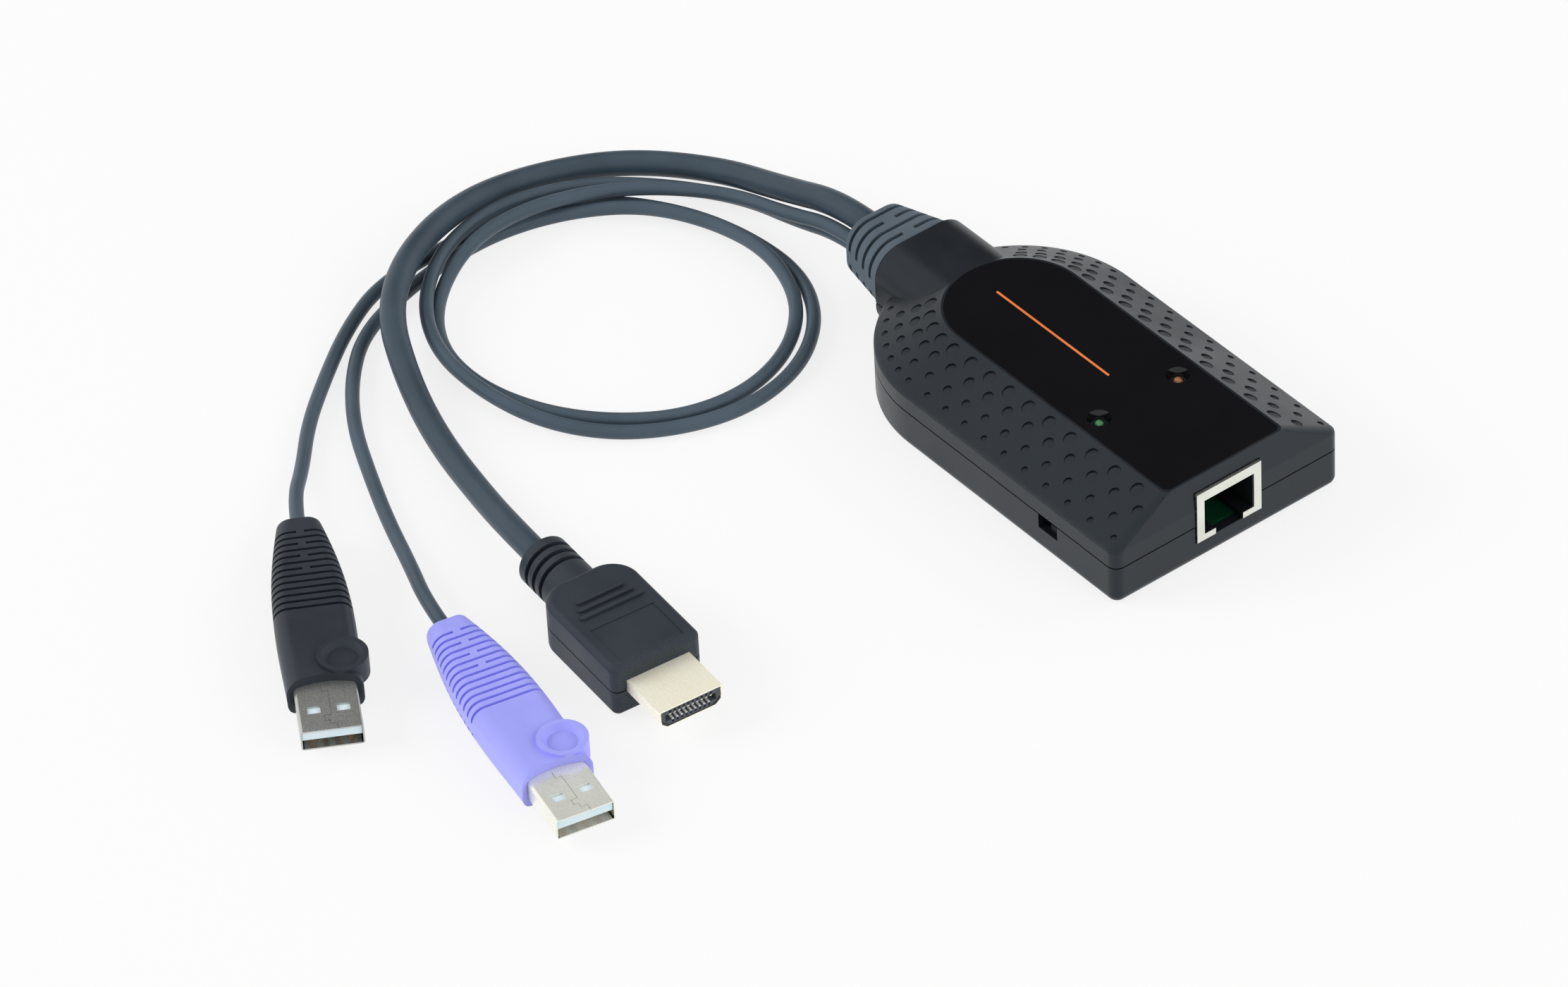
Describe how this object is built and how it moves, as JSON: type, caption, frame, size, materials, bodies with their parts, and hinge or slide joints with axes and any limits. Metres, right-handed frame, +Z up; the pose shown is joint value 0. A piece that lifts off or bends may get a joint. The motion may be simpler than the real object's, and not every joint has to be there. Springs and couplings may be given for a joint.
{
  "type": "console switch network adapter",
  "caption": "Moulded adapter with a network socket at one end and three captive cords at the other, ending in a video plug and two keyboard and mouse plugs.",
  "frame": {"origin": "under the middle of the housing with its strain relief, on the surface it stands on", "axes": "+X forward along the housing, out of the network socket; +Y to its left; +Z up"},
  "size_m": [0.1781, 0.1982, 0.0204],
  "materials": {
    "housing_plastic": "satin, moulded",
    "panel_gloss": "gloss",
    "green_lens": "clear tinted",
    "amber_lens": "clear tinted",
    "tinned_steel": "tinned",
    "shield_steel": "plated sheet",
    "socket_plastic": "moulded",
    "gold_plate": "gold plated",
    "board_laminate": "solder mask",
    "chip_resin": "moulded",
    "transformer_resin": "moulded",
    "crystal_steel": "drawn can",
    "header_nylon": "moulded",
    "wire_sheath": "extruded",
    "screw_steel": "black zinc",
    "switch_plastic": "moulded",
    "knob_plastic": "moulded",
    "boot_pvc": "moulded",
    "cord_pvc": "extruded",
    "black_pvc": "moulded, matte",
    "lavender_pvc": "moulded, satin",
    "plug_tin": "pale plating",
    "plug_nickel": "nickel, brushed",
    "plug_insulator": "moulded",
    "tongue_plastic": "moulded"
  },
  "bodies": {
    "adapter": {"upper_cover": "housing_plastic", "lower_case": "housing_plastic", "top_panel": "panel_gloss", "link_led": "green_lens", "power_led": "amber_lens", "led_leads": "tinned_steel", "jack_shield": "shield_steel", "jack_insert": "socket_plastic", "jack_contacts": "gold_plate", "main_board": "board_laminate", "converter_chip": "chip_resin", "lan_transformer": "transformer_resin", "crystal_can": "crystal_steel", "cord_headers": "header_nylon", "inner_wires": "wire_sheath", "housing_screws": "screw_steel", "switch_body": "switch_plastic", "cable_boot": "boot_pvc", "video_cable": "cord_pvc", "purple_usb_cable": "cord_pvc", "black_usb_cable": "cord_pvc", "video_plug_grip": "black_pvc", "video_plug_shell": "plug_tin", "video_plug_insert": "plug_insulator", "video_plug_contacts": "gold_plate", "black_usb_grip": "black_pvc", "black_usb_shell": "plug_nickel", "black_usb_tongue": "tongue_plastic", "black_usb_contacts": "gold_plate", "purple_usb_grip": "lavender_pvc", "purple_usb_shell": "plug_nickel", "purple_usb_tongue": "tongue_plastic", "purple_usb_contacts": "gold_plate"},
    "switch_knob": {"switch_slider": "knob_plastic"}
  },
  "joints": [
    {"name": "switch_slide", "type": "slide", "parent": "adapter", "child": "switch_knob", "axis": [1, 0, 0], "range_m": [-0.002, 0]}
  ]
}
